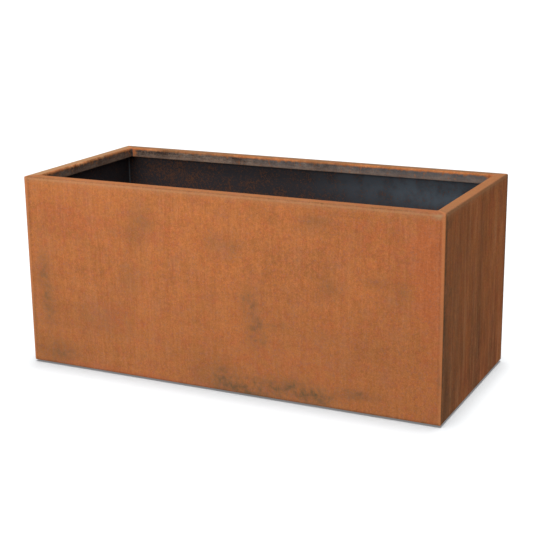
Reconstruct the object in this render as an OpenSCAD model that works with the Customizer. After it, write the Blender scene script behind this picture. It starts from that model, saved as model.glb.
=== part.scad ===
// Rectangular trough planter in weathering steel, in millimetres.
//
// Four folded sheet walls are welded to each other at the corners. Each wall has a flat flange and a
// hanging lip along its top, and a narrow hem along its foot. A folded base tray is stitch-welded
// between the walls, clear of the ground, on three hat-section ribs. Each rib stands on two plastic
// glides pushed into its web, so that water from the drain holes can run out under the walls.
//
// +X runs along the trough, +Y from front to back, and +Z up. The origin is on the ground, under the
// middle of the box.

/* [Box] */
// Length of the box over its end walls
box_length = 900; // [800:50:1500]
// Depth of the box over its front and back walls
box_depth = 400; // [300:50:600]
// Height from the ground to the top of the rim
box_height = 400; // [250:50:600]

/* [Sheet metal] */
// Thickness of every sheet
sheet = 2; // [1.5:0.5:3]
// Inside radius of every bend
bend_inside = 2; // [1.5:0.5:3]

/* [Rim] */
// Width of the flat flange, from the wall's outer face to the lip's inner face
rim_width = 25; // [20:1:50]
// Drop of the lip, from the top of the rim to its lower edge
lip_drop = 20; // [12:1:40]

/* [Foot of the walls] */
// Gap between the ground and the walls, which the glides hold open
ground_gap = 3; // [2:1:6]
// Width of the hem, from the wall's outer face to its free edge
hem_width = 15; // [12:1:20]

/* [Base] */
// Height of the tray's upper face above the ground
base_top = 30; // [28:1:45]
// Height of the tray's turned-down edges
tray_edge = 20; // [12:1:20]
// Gap between the tray and each wall, which the stitch welds close
tray_gap = 0.5; // [0.2:0.1:1]
// Diameter of the drain and anchor holes
drain_diameter = 14; // [10:1:20]

/* [Ribs and glides] */
// Width of a rib's web, over its sides
rib_web = 50; // [40:1:70]
// Width of each of a rib's two welding flanges, from its side's outer face
rib_flange = 15; // [12:1:20]
// Diameter of a glide's pad
glide_diameter = 30; // [24:1:36]
// Diameter of a glide's stem
glide_stem = 8; // [6:1:10]

/* [Welds] */
// Width of the weld in each mitre of the rim
mitre_weld = 1; // [0.6:0.2:1.6]
// Length of one stitch weld
stitch_length = 30; // [20:5:40]

/* [Hidden] */

$fn = 64;
bend_outside = bend_inside + sheet;

// Half sizes of the box
half_length = box_length / 2;
half_depth = box_depth / 2;

// Level of the walls' lowest face, and of the ribs'
wall_foot = ground_gap;

// Distance of a panel's mitred end from the mitre plane, measured along the panel
mitre_setback = mitre_weld / 2 * sqrt(2);

// Half sizes of the tray, and the relief cut out of each of its corners
tray_half_length = half_length - sheet - tray_gap;
tray_half_depth = half_depth - sheet - tray_gap;
relief_margin = 1;
tray_relief = bend_outside + relief_margin;

// Ribs: their spacing along the box, half length, height, and half width over the flanges
rib_end_gap = 5;
rib_spacing = box_length / 3;
rib_half_length = half_depth - hem_width - rib_end_gap;
rib_height = base_top - sheet - wall_foot;
rib_half_width = rib_web / 2 + rib_flange;

// Glides: distance from the middle of the rib, and the stem's play in its hole
glide_inset = 30;
glide_reach = rib_half_length - glide_inset;
stem_play = 0.1;

// Glides: the pad's chamfer, and the head's overhang, straight part, height and narrowing at its tip
pad_chamfer = 1;
head_overhang = 1.5;
head_straight = 1.5;
head_height = 6;
head_tip_inset = 1;

// Drain holes: four between the ribs, which can also take ground anchors, and one near each end
drain_reach_x = rib_spacing / 2;
drain_reach_y = box_depth / 4;
end_drain_inset = 50;
end_drain_reach = half_length - end_drain_inset;

// Stitch welds around the tray: how many along each side, a bead's radius, which keeps it off the
// tray's flat, and its axis, measured from the wall's inner face and down from the tray's upper face
long_stitches = 5;
end_stitches = 3;
stitch_clearance = 0.4;
stitch_radius = bend_outside - stitch_clearance;
stitch_offset = tray_gap + 0.3;
stitch_sink = 0.6;

// Stitch welds along the ribs: how many along each flange, a bead's radius and its length
rib_stitches = 4;
rib_bead_radius = 2;
rib_stitch_length = stitch_length * 5 / 6;

// Colours of weathered outer sheet, ground welds, dark mill scale and black plastic
rust = [0.70, 0.43, 0.26];
end_rust = [0.58, 0.36, 0.22];
weld_rust = [0.62, 0.38, 0.25];
mill_scale = [0.23, 0.22, 0.22];
black_plastic = [0.09, 0.09, 0.09];

// A quarter of a bent sheet, about its bend axis. dx and dz, each 1 or -1, point from the axis to the
// outside of the bend.
module bend(dx, dz) {
    intersection() {
        difference() {
            circle(r = bend_outside);
            circle(r = bend_inside);
        }
        translate([min(dx, 0) * bend_outside, min(dz, 0) * bend_outside])
            square(bend_outside);
    }
}

// A rectangle between two corners
module rectangle(low, high) {
    translate(low) square(high - low);
}

// Section through a wall, seen along the wall: the first axis runs inwards from its outer face, the
// second axis up.
module wall_section() {
    lip_axis = rim_width - bend_outside;
    top_axis = box_height - bend_outside;
    foot_axis = wall_foot + bend_outside;
    rectangle([bend_outside, wall_foot], [hem_width, wall_foot + sheet]);
    translate([bend_outside, foot_axis]) bend(-1, -1);
    rectangle([0, foot_axis], [sheet, top_axis]);
    translate([bend_outside, top_axis]) bend(-1, 1);
    rectangle([bend_outside, box_height - sheet], [lip_axis, box_height]);
    translate([lip_axis, top_axis]) bend(1, 1);
    rectangle([rim_width - sheet, box_height - lip_drop], [rim_width, top_axis]);
}

// The wall's outer skin filled in, in the same axes: what a corner is ground back to
module wall_envelope() {
    rectangle([bend_outside, wall_foot], [2 * bend_outside, box_height]);
    rectangle([0, wall_foot + bend_outside], [bend_outside, box_height - bend_outside]);
    translate([bend_outside, wall_foot + bend_outside]) circle(r = bend_outside);
    translate([bend_outside, box_height - bend_outside]) circle(r = bend_outside);
}

// Sweeps a section along X over the given half length, with its first axis running from y = -reach
// towards the middle.
module along_x(half, reach) {
    translate([-half, -reach, 0]) rotate([90, 0, 90]) linear_extrude(2 * half) children();
}

// A wall of the given half length, at y = -reach, with square-cut ends at its outer skin and mitred
// ends from there to the rim.
module wall(half, reach) {
    square_end = half - sheet;
    mitre_start = square_end - mitre_setback;
    mitre_end = half - rim_width - mitre_setback;
    intersection() {
        along_x(half, reach) wall_section();
        linear_extrude(box_height)
            polygon([
                [-square_end, -reach], [square_end, -reach],
                [square_end, -reach + sheet], [mitre_start, -reach + sheet],
                [mitre_end, -reach + rim_width], [-mitre_end, -reach + rim_width],
                [-mitre_start, -reach + sheet], [-square_end, -reach + sheet]
            ]);
    }
}

module front_panel() {
    color(rust) wall(half_length, half_depth);
}

module back_panel() {
    color(rust) rotate(180) wall(half_length, half_depth);
}

module left_end_panel() {
    color(end_rust) rotate(-90) wall(half_depth, half_length);
}

module right_end_panel() {
    color(end_rust) rotate(90) wall(half_depth, half_length);
}

// The bead that fills the open corner between two walls, ground round and flush with them. This one
// is at the corner where x and y are lowest.
module corner_bead() {
    intersection() {
        translate([-half_length + sheet, -half_depth + sheet, wall_foot])
            intersection() {
                cylinder(r = sheet, h = box_height - wall_foot);
                translate([-sheet, -sheet, 0]) cube([sheet, sheet, box_height]);
            }
        along_x(half_length, half_depth) wall_envelope();
        rotate(-90) along_x(half_depth, half_length) wall_envelope();
    }
}

// The weld in one mitre of the rim: a slice through flange and lip, flush with both. This one is at
// the corner where x and y are lowest.
module rim_bead() {
    outer = sheet;
    inner = rim_width;
    corner = [-half_length, -half_depth, box_height - lip_drop];
    // half of the slice on the long wall's side of the mitre
    intersection() {
        along_x(half_length, half_depth) wall_section();
        translate(corner)
            linear_extrude(lip_drop)
                polygon([
                    [outer, outer], [outer + mitre_setback, outer],
                    [inner + mitre_setback, inner], [inner, inner]
                ]);
    }
    // half of it on the end wall's side
    intersection() {
        rotate(-90) along_x(half_depth, half_length) wall_section();
        translate(corner)
            linear_extrude(lip_drop)
                polygon([
                    [outer, outer], [inner, inner],
                    [inner, inner + mitre_setback], [outer, outer + mitre_setback]
                ]);
    }
}

// Puts a piece made for the front left corner at the corner named by side_x and side_y, each 0 or 1
module at_corner(side_x, side_y) {
    mirror([side_x, 0, 0]) mirror([0, side_y, 0]) children();
}

module corner_weld(side_x, side_y) {
    color(weld_rust) at_corner(side_x, side_y) corner_bead();
}

module rim_weld(side_x, side_y) {
    color(weld_rust) at_corner(side_x, side_y) rim_bead();
}

// Half of the section through the tray, from its middle to its turned-down edge at -reach
module half_tray_section(reach) {
    axis_z = base_top - bend_outside;
    rectangle([-reach, base_top - tray_edge], [-reach + sheet, axis_z]);
    translate([-reach + bend_outside, axis_z]) bend(-1, 1);
    rectangle([-reach + bend_outside, base_top - sheet], [0, base_top]);
}

module tray_section(reach) {
    half_tray_section(reach);
    mirror([1, 0]) half_tray_section(reach);
}

// Where the drain holes are, as [x, y]
drain_places = concat(
    [for (x = [-1, 1], y = [-1, 1]) [x * drain_reach_x, y * drain_reach_y]],
    [for (x = [-1, 1]) [x * end_drain_reach, 0]]
);

module base_tray() {
    color(mill_scale)
        difference() {
            union() {
                along_x(tray_half_length - tray_relief, 0) tray_section(tray_half_depth);
                rotate(90) along_x(tray_half_depth - tray_relief, 0) tray_section(tray_half_length);
            }
            for (place = drain_places)
                translate([place.x, place.y, base_top - 2 * sheet])
                    cylinder(d = drain_diameter, h = 3 * sheet);
        }
}

// The tray's outer skin along an edge at -reach, filled in down to the ground
module tray_envelope(reach) {
    axis_z = base_top - bend_outside;
    rectangle([-reach, 0], [-reach + bend_outside, axis_z]);
    rectangle([-reach + bend_outside, 0], [0, base_top]);
    translate([-reach + bend_outside, axis_z]) circle(r = bend_outside);
}

// One bead in the groove between the tray and a wall at y = -reach, centred on x = 0
module groove_bead(reach) {
    wall_face = -reach + sheet;
    along_x(stitch_length / 2, 0)
        difference() {
            translate([wall_face + stitch_offset, base_top - stitch_sink]) circle(r = stitch_radius);
            rectangle([-reach - stitch_radius, 0], [wall_face, box_height]);
            tray_envelope(-wall_face - tray_gap);
        }
}

// Beads spread evenly along a wall of the given half length, at y = -reach
module groove_beads(half, reach, count) {
    pitch = 2 * half / count;
    for (i = [0 : count - 1])
        translate([(i - (count - 1) / 2) * pitch, 0, 0]) groove_bead(reach);
}

module base_stitch_welds() {
    color(weld_rust) {
        for (turn = [0, 180]) rotate(turn) groove_beads(half_length, half_depth, long_stitches);
        for (turn = [-90, 90]) rotate(turn) groove_beads(half_depth, half_length, end_stitches);
    }
}

// Half of the hat section, from the middle of the web to a welding flange. The first axis is along X.
module half_rib_section() {
    side = rib_web / 2;
    low_axis = wall_foot + bend_outside;
    high_axis = wall_foot + rib_height - bend_outside;
    flange_axis = side + bend_inside;
    rectangle([0, wall_foot], [side - bend_outside, wall_foot + sheet]);
    translate([side - bend_outside, low_axis]) bend(1, -1);
    rectangle([side - sheet, low_axis], [side, high_axis]);
    translate([flange_axis, high_axis]) bend(-1, 1);
    rectangle([flange_axis, wall_foot + rib_height - sheet], [rib_half_width, wall_foot + rib_height]);
}

// A rib under the tray, with a hole near each end for a glide's stem. side is -1, 0 or 1.
module base_rib(side) {
    color(mill_scale)
        translate([side * rib_spacing, 0, 0])
            difference() {
                translate([0, rib_half_length, 0]) rotate([90, 0, 0])
                    linear_extrude(2 * rib_half_length) {
                        half_rib_section();
                        mirror([1, 0]) half_rib_section();
                    }
                for (y = [-1, 1])
                    translate([0, y * glide_reach, wall_foot - sheet])
                        cylinder(r = glide_stem / 2 + stem_play, h = 3 * sheet);
            }
}

// One fillet bead along the edge of a rib's flange, under the tray. hand is -1 or 1.
module rib_bead(hand) {
    root = [rib_half_width, wall_foot + rib_height];
    translate([0, rib_stitch_length / 2, 0]) rotate([90, 0, 0]) linear_extrude(rib_stitch_length)
        mirror([hand < 0 ? 1 : 0, 0])
            intersection() {
                translate(root) circle(r = rib_bead_radius);
                translate([root.x, root.y - rib_bead_radius]) square(rib_bead_radius);
            }
}

module rib_stitch_welds() {
    pitch = 2 * rib_half_length / rib_stitches;
    color(weld_rust)
        for (side = [-1, 0, 1], hand = [-1, 1], i = [0 : rib_stitches - 1])
            translate([side * rib_spacing, (i - (rib_stitches - 1) / 2) * pitch, 0]) rib_bead(hand);
}

// A plastic glide: a pad under the web, a stem through its hole, and a tapered head that snaps over it
module glide(side_x, side_y) {
    pad = glide_diameter / 2;
    stem = glide_stem / 2;
    head = stem + head_overhang;
    web_top = wall_foot + sheet;
    head_top = web_top + head_height;
    color(black_plastic)
        translate([side_x * rib_spacing, side_y * glide_reach, 0])
            rotate_extrude()
                polygon([
                    [0, 0], [pad - pad_chamfer, 0], [pad, pad_chamfer], [pad, wall_foot],
                    [stem, wall_foot], [stem, web_top], [head, web_top], [head, web_top + head_straight],
                    [stem - head_tip_inset, head_top], [0, head_top]
                ]);
}

front_panel();
back_panel();
left_end_panel();
right_end_panel();
corner_weld(0, 0);  // corner_weld_front_left
corner_weld(1, 0);  // corner_weld_front_right
corner_weld(0, 1);  // corner_weld_back_left
corner_weld(1, 1);  // corner_weld_back_right
rim_weld(0, 0);  // rim_weld_front_left
rim_weld(1, 0);  // rim_weld_front_right
rim_weld(0, 1);  // rim_weld_back_left
rim_weld(1, 1);  // rim_weld_back_right
base_tray();
base_stitch_welds();
base_rib(-1);  // base_rib_left
base_rib(0);  // base_rib_middle
base_rib(1);  // base_rib_right
rib_stitch_welds();
glide(-1, -1);  // glide_front_left
glide(0, -1);  // glide_front_middle
glide(1, -1);  // glide_front_right
glide(-1, 1);  // glide_back_left
glide(0, 1);  // glide_back_middle
glide(1, 1);  // glide_back_right
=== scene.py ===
"""The looks of a trough planter in weathering steel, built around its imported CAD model.

Everything is in metres in the model's own frame: +X runs along the trough, +Y from its front to its
back, and +Z up. The origin is on the ground, under the middle of the box.

The folded walls, the welds, the ribs and the glides are built here as finer meshes than the CAD ones,
with the sheet's slight waves, the ripples of the welds and soft cut edges. Each point of a wall
carries a few surface values, such as how much mill scale is left there, and the materials read them.
"""

import math
from types import SimpleNamespace

import bmesh
import bpy
from mathutils import Matrix, Vector, noise


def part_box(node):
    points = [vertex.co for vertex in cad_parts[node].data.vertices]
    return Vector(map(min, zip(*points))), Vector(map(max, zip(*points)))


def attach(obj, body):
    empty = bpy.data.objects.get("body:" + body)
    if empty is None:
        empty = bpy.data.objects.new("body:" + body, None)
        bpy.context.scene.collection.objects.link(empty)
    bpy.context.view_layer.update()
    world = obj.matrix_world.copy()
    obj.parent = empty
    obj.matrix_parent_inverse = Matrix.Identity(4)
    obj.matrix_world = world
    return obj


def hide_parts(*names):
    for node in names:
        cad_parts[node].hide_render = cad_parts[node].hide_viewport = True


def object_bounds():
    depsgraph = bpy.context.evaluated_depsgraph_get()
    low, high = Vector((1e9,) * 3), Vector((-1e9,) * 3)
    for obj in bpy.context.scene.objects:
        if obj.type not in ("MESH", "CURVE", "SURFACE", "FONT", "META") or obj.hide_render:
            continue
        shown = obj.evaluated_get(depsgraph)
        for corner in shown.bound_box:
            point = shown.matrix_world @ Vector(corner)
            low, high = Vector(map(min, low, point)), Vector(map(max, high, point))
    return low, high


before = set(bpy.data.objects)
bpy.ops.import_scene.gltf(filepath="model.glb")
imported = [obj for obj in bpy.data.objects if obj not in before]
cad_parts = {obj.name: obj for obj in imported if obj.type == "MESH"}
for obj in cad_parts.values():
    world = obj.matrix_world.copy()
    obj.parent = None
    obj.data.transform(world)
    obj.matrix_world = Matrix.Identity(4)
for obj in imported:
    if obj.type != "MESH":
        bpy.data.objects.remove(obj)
cad_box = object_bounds()

MM = 0.001

# ---- sizes, read from the CAD model

HALF_LENGTH = cad_box[1].x
HALF_DEPTH = cad_box[1].y
TOP = cad_box[1].z
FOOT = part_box("front_panel")[0].z
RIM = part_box("front_panel")[1].y + HALF_DEPTH
LIP_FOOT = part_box("rim_weld_front_left")[0].z
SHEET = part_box("corner_weld_front_left")[1].x + HALF_LENGTH
TRAY_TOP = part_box("base_tray")[1].z

# Sizes that the CAD boxes don't show
BEND = 4 * MM  # outside radius of every bend
HEM = 15 * MM  # width of the hem along a wall's foot
MITRE_GAP = 0.7 * MM  # from the mitre plane to a wall's end
RIB_FLANGE = 15 * MM  # width of a rib's welding flange

# How the meshes are divided
GRID = 8 * MM  # size of the quads on flat sheet
NEAR_EDGE = [0.0, 1 * MM, 3 * MM]  # closer points at both ends of each stretch
BEND_STEPS = 8
MITRE_ZONE = 36 * MM  # length at a wall's ends over which its columns turn into the mitre
WELD_COLUMNS = (6 * MM, 8 * MM)  # more columns at these distances from a wall's ends
EDGE_SOFTENING = 0.35 * MM  # chamfer on a cut edge

SHARP_ANGLE = 32  # in degrees: faces that meet at more than this meet in a sharp edge

# What each point of a wall or a ground weld carries, for the material to read:
#   mill    mill scale or oxide that is left: none on the rusted skin, some on the lips, 1 inside
#   stain   olive-brown blotches, or the rust that has come through scale; also painted shade, darker
#           low on the faces, on the ends and the corner beads beside the corner welds, and on the bends
#   warm    redder rust
#   pale    lighter rust, or cleaner scale; below zero it darkens, and so paints thin lines of shade along
#           the faces' feet, beside the corner welds and on the flanges' bends
#   dust    pale tan dust, and also the painted highlights below the flanges' bends and on the inner
#           corner beads
#   ground  the bright band where a weld was ground flush
#   streak  vertical runs on a face, or darker oxide on a lip
SURFACE_VALUES = ("mill", "stain", "warm", "pale", "dust", "ground", "streak")


def smooth(value, low, high):
    """0 below low, 1 above high, and a smooth step between them."""
    t = min(max((value - low) / (high - low), 0.0), 1.0)
    return t * t * (3 - 2 * t)


# ---- meshes


class Skin:
    """Collects the points and faces of one piece, with the surface values of each point."""

    def __init__(self):
        self.points = []
        self.values = []
        self.faces = []

    def ring(self, points, values=None):
        """Adds a closed ring of points and returns their numbers."""
        first = len(self.points)
        self.points += points
        self.values += values or [{}] * len(points)
        return list(range(first, len(self.points)))

    def bridge(self, one, two):
        """Joins two rings of the same length with a band of quads."""
        for i in range(len(one)):
            j = (i + 1) % len(one)
            self.faces.append((one[i], one[j], two[j], two[i]))

    def loft(self, rings, cap):
        """Joins each ring to the next, and closes the first and last with cap."""
        for one, two in zip(rings, rings[1:]):
            self.bridge(one, two)
        cap(rings[0])
        cap(rings[-1])

    def sheet_cap(self, ring):
        """Closes a ring that goes out along a sheet's one skin and back along the other."""
        last = len(ring) - 1
        for i in range(len(ring) // 2 - 1):
            self.faces.append((ring[i], ring[i + 1], ring[last - i - 1], ring[last - i]))

    def flat_cap(self, ring):
        """Closes a ring with one face."""
        self.faces.append(tuple(ring))

    def piece(self, name, material, stands_for):
        """Makes the object, which rides on the part's only body and stands for a CAD node."""
        mesh = bpy.data.meshes.new(name)
        mesh.from_pydata(self.points, [], self.faces)
        for key in SURFACE_VALUES:
            attribute = mesh.attributes.new(key, "FLOAT", "POINT")
            attribute.data.foreach_set("value", [v.get(key, 0.0) for v in self.values])
        turned = bmesh.new()
        turned.from_mesh(mesh)
        bmesh.ops.recalc_face_normals(turned, faces=turned.faces)
        turned.to_mesh(mesh)
        turned.free()
        mesh.shade_smooth()
        mesh.set_sharp_from_angle(angle=math.radians(SHARP_ANGLE))
        mesh.materials.append(material)
        thing = linked(name, mesh)
        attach(thing, "root")
        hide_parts(stands_for)
        return thing


def graded(length, step=GRID):
    """Distances from 0 to length, about a step apart, with closer ones just inside both ends."""
    inner = length - 2 * NEAR_EDGE[-1]
    count = max(1, round(inner / step))
    middle = [NEAR_EDGE[-1] + inner * i / count for i in range(1, count)]
    return NEAR_EDGE + middle + [length - d for d in reversed(NEAR_EDGE)]


# A station is a place along a folded sheet's section: a point on its outer skin, the direction out of
# the sheet there, and its stretch's name.


def flat(start, end, normal, zone):
    """The stations of a flat stretch, with both its ends."""
    start, end = Vector(start), Vector(end)
    span = (end - start).length
    return [(start.lerp(end, d / span), Vector(normal), zone) for d in graded(span)]


def bend(centre, start, end, zone, hollow=False):
    """The inner stations of a bend, between two angles in degrees. A hollow one turns inwards."""
    radius = BEND - SHEET if hollow else BEND
    stations = []
    for i in range(1, BEND_STEPS):
        angle = math.radians(start + (end - start) * i / BEND_STEPS)
        out = Vector((math.cos(angle), math.sin(angle)))
        stations.append((Vector(centre) + out * radius, -out if hollow else out, zone))
    return stations


def sheet_outline(stations):
    """The closed outline of a sheet as (point, zone, inside): one skin out, the other skin back."""
    outer, inner = [], []
    for i, (point, normal, zone) in enumerate(stations):
        soft = EDGE_SOFTENING if i in (0, len(stations) - 1) else 0.0
        outer.append((point - normal * soft, zone, False))
        inner.append((point - normal * (SHEET - soft), zone, True))
    return outer + inner[::-1]


def wall_stations():
    """Section through a wall, as (inwards from its outer face, up), from its hem to its lip."""
    foot_axis = FOOT + BEND
    top_axis = TOP - BEND
    lip_axis = RIM - BEND
    return (
        flat((HEM, FOOT), (BEND, FOOT), (0, -1), "hem")
        + bend((BEND, foot_axis), 270, 180, "face")
        + flat((0, foot_axis), (0, top_axis), (-1, 0), "face")
        + bend((BEND, top_axis), 180, 90, "flange")
        + flat((BEND, TOP), (lip_axis, TOP), (0, 1), "flange")
        + bend((lip_axis, top_axis), 90, 0, "lip")
        + flat((RIM, top_axis), (RIM, LIP_FOOT), (1, 0), "lip")
    )


# ---- what each wall's surface shows

# Marks on the walls' faces and flanges, as (across, up, half width, half height, amount) for each value.
# Across runs from 0 at a wall's left end, seen from outside, to 1, and up from 0 at the ground to 1 on top.
MARKS = {
    "front": {
        "stain": [
            (0.31, 0.82, 0.03, 0.07, 0.46), (0.28, 0.74, 0.018, 0.06, 0.34),
            (0.48, 0.76, 0.022, 0.045, 0.46), (0.53, 0.74, 0.024, 0.045, 0.52),
            (0.76, 0.6, 0.028, 0.045, 0.46), (0.86, 0.65, 0.03, 0.03, 0.38),
            (0.915, 0.62, 0.018, 0.07, 0.4), (0.72, 0.91, 0.035, 0.035, 0.42),
            (0.57, 0.49, 0.026, 0.08, 0.5), (0.585, 0.34, 0.024, 0.09, 0.54),
            (0.63, 0.38, 0.026, 0.02, 0.35), (0.038, 0.5, 0.02, 0.11, 0.62),
            (0.048, 0.32, 0.02, 0.1, 0.44), (0.07, 0.08, 0.05, 0.05, 0.62),
            (0.5, 0.065, 0.048, 0.09, 0.54), (0.55, 0.03, 0.038, 0.04, 0.6),
            (0.61, 0.06, 0.055, 0.055, 0.46), (0.68, 0.062, 0.06, 0.065, 0.58),
            (0.74, 0.05, 0.036, 0.035, 0.5), (0.81, 0.095, 0.04, 0.02, 0.85),
            (0.28, 0.52, 0.04, 0.1, 0.25), (0.2, 0.29, 0.1, 0.07, 0.28),
            (0.7, 0.35, 0.16, 0.16, 0.15), (0.985, 0.988, 0.009, 0.009, 0.6),
            # the narrow marks at across 0.996 paint shade down the front's right corner
            (0.996, 0.21, 0.005, 0.07, 0.9), (0.996, 0.52, 0.004, 0.08, 0.5),
            (0.005, 0.25, 0.005, 0.12, 0.5), (0.004, 0.75, 0.004, 0.08, 0.6),
        ],
        "warm": [
            (0.96, 0.78, 0.05, 0.22, 0.95), (0.985, 0.6, 0.025, 0.45, 0.7),
            (0.84, 0.84, 0.07, 0.11, 0.35), (0.12, 0.79, 0.11, 0.08, 0.6),
            (0.36, 0.77, 0.05, 0.05, 0.45), (0.24, 0.3, 0.08, 0.08, 0.4),
            (0.3, 0.01, 0.25, 0.025, 0.9), (0.62, 0.22, 0.12, 0.08, 0.35),
        ],
        "pale": [
            (0.18, 0.92, 0.17, 0.06, 0.8), (0.08, 0.64, 0.06, 0.06, 0.7),
            (0.34, 0.64, 0.08, 0.05, 0.6), (0.45, 0.42, 0.06, 0.08, 0.45),
            (0.5, 0.88, 0.18, 0.08, 0.4), (0.28, 0.19, 0.09, 0.07, 0.5),
            (0.06, 0.17, 0.05, 0.05, 0.4),
        ],
        "streak": [(0.27, 0.48, 0.1, 0.28, 0.2)],
        "dust": [(0.985, 0.985, 0.008, 0.009, 1.0)],
    },
    "back": {
        "stain": [
            (0.22, 0.3, 0.05, 0.12, 0.6), (0.64, 0.08, 0.08, 0.05, 0.75),
            (0.8, 0.62, 0.04, 0.15, 0.4), (0.41, 0.85, 0.07, 0.05, 0.4),
            (0.35, 0.55, 0.16, 0.16, 0.18),
        ],
        "warm": [
            (0.1, 0.6, 0.07, 0.2, 0.6), (0.9, 0.15, 0.08, 0.09, 0.6), (0.52, 0.3, 0.14, 0.1, 0.4),
        ],
        "pale": [(0.55, 0.75, 0.2, 0.16, 0.6), (0.18, 0.85, 0.12, 0.1, 0.5)],
    },
    "left_end": {
        "stain": [(0.3, 0.12, 0.12, 0.06, 0.6), (0.75, 0.6, 0.08, 0.12, 0.4)],
        "warm": [(0.6, 0.2, 0.16, 0.12, 0.5)],
        "pale": [(0.4, 0.8, 0.3, 0.15, 0.4)],
    },
    "right_end": {
        "stain": [
            (0.03, 0.6, 0.06, 0.5, 0.3), (0.04, 0.95, 0.05, 0.025, 0.35),
            (0.14, 0.45, 0.15, 0.38, 0.42), (0.55, 0.75, 0.06, 0.24, 0.25),
            (0.12, 0.1, 0.15, 0.15, 0.22), (0.25, 0.8, 0.25, 0.25, 0.18),
        ],
        "warm": [
            (0.6, 0.08, 0.3, 0.12, 0.4), (0.9, 0.3, 0.1, 0.3, 0.35), (0.72, 0.85, 0.06, 0.2, 0.3),
        ],
        "pale": [(0.6, 0.55, 0.3, 0.25, 0.6), (0.5, 0.02, 0.7, 0.3, -0.6)],
        "streak": [(0.5, 0.12, 0.7, 0.28, 0.45)],
    },
}

# Marks on the inner faces, also seen from outside: pale is clean blue scale, stain is rust through it.
# On the back wall, the pale marks' blue also paints a sheen of reflected light.
INNER_MARKS = {
    "front": {
        "stain": [(0.4, 0.6, 0.3, 0.3, 0.4)],
        "pale": [(0.8, 0.8, 0.15, 0.2, 0.6)],
    },
    "back": {
        "stain": [
            (0.86, 0.8, 0.18, 0.3, 0.85), (0.58, 0.7, 0.14, 0.16, 0.6),
            (0.18, 0.62, 0.14, 0.09, 1.0),
        ],
        # these blue marks on the back's inside are partly real clean scale and partly a painted sheen of
        # reflected light
        "pale": [(0.15, 0.88, 0.11, 0.11, 1.1), (0.32, 0.88, 0.12, 0.1, 0.55)],
    },
    "left_end": {"stain": [(0.5, 0.5, 0.3, 0.3, 0.3)]},
    "right_end": {
        "stain": [(0.5, 0.4, 0.3, 0.3, 0.4)],
        "pale": [(0.4, 0.85, 0.3, 0.15, 0.5)],
    },
}

# Marks on the lips: pale is bare grey oxide, stain a brown haze, and streak darker oxide. Each is high
# enough not to change over a lip's drop.
LIP_MARKS = {
    "front": {"stain": [(0.3, 0.5, 0.2, 2.0, 0.6)]},
    "back": {
        "pale": [(0.12, 0.5, 0.3, 2.0, 1.0), (0.55, 0.5, 0.06, 2.0, 0.5)],
        "stain": [(0.8, 0.5, 0.14, 2.0, 0.7), (0.45, 0.5, 0.05, 2.0, 0.6)],
        "streak": [(0.7, 0.5, 0.35, 2.0, 0.5)],
    },
    "left_end": {
        "stain": [(0.22, 0.5, 0.12, 2.0, 0.5)],
        "streak": [
            (0.06, 0.5, 0.05, 2.0, 3.5), (0.38, 0.5, 0.05, 2.0, 2.6), (0.58, 0.5, 0.11, 2.0, 3.2),
            (0.86, 0.5, 0.06, 2.0, 2.0),
        ],
    },
    "right_end": {"stain": [(0.6, 0.5, 0.2, 2.0, 0.5)]},
}

# What a wall shows all along, besides its marks
STREAKS = {"front": 0.12, "back": 0.3, "left_end": 0.8, "right_end": 1.0}
LIP_DUST = {"front": 0.10, "back": 0.02, "left_end": 0.18, "right_end": 0.20}
LIP_HEAT = {"front": 1.0, "back": 1.0, "left_end": 0.2, "right_end": 0.6}  # rust by the rim welds
LIP_FADE = {"front": 1.5, "back": 2.0, "left_end": 2.4, "right_end": 2.0}  # end of the rim's rust, in bends
FLANGE_STAIN = {"front": 0.18, "back": 0.95, "left_end": 0.0, "right_end": 0.15}
FLANGE_DUST = {"front": 0.12, "back": 0.45, "left_end": 1.40, "right_end": 0.30}
LIP_SCALE = 0.5  # mill, on the lips
HEM_SCALE = 0.5  # and on the hems
LIP_EDGE_DUST = 0.4  # added at a lip's cut edge
SOIL_LINE = 60 * MM  # up to this height above the tray, the inner faces are rustier
SOIL_STAIN = 1.2

# Bands and lines
CORNER_BAND = 9 * MM  # width of the ground band beside a corner weld, at the top
MITRE_BAND = 5 * MM  # half width of the ground band over a rim weld
LIP_BAND = 18 * MM  # how far a rim weld's heat has turned the lips rusty
FOLD_LINE = 2.2 * MM  # half width of the two painted lines, of shade and of highlight, along a flange's outer bend
FOLD_SHADE = 0.1 * BEND  # where its painted shade line runs, from the middle of the bend towards the flange
FOLD_HIGHLIGHT = -1.2 * BEND  # and its painted highlight line, which is down the face
MARK_FALL = 0.9  # at its half width a mark has faded by exp(-0.9), to 0.4 of its amount


def ridge(place, centre, half_width):
    """1 at the centre, fading away to both sides of it."""
    return math.exp(-(((place - centre) / half_width) ** 2))


def marks_at(marks, across, up):
    """The summed marks at a place on a face, as a dictionary of surface values."""
    found = dict.fromkeys(("stain", "warm", "pale", "dust", "streak"), 0.0)
    for key, rows in marks.items():
        for middle, height, half_width, half_height, amount in rows:
            far = math.hypot((across - middle) / half_width, (up - height) / half_height)
            found[key] += amount * math.exp(-MARK_FALL * far * far)
    return found


def add_lip(values, side, to_mitre, up):
    """A lip keeps grey oxide, except round the bend, by the rim welds and along its cut edge."""
    heat = LIP_HEAT[side] * (1 - smooth(to_mitre, 0.3 * LIP_BAND, LIP_BAND))
    fade = smooth(TOP - up, 0.05 * BEND, LIP_FADE[side] * BEND)
    values["mill"] = LIP_SCALE * fade * (1 - 0.8 * heat)
    values["warm"] += 0.8 * heat
    values["streak"] += 1 - smooth(TOP - up, 1.5 * BEND, 0.6 * RIM)
    values["dust"] = LIP_DUST[side] + LIP_EDGE_DUST * (1 - smooth(up - LIP_FOOT, 1 * MM, 7 * MM))


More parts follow.
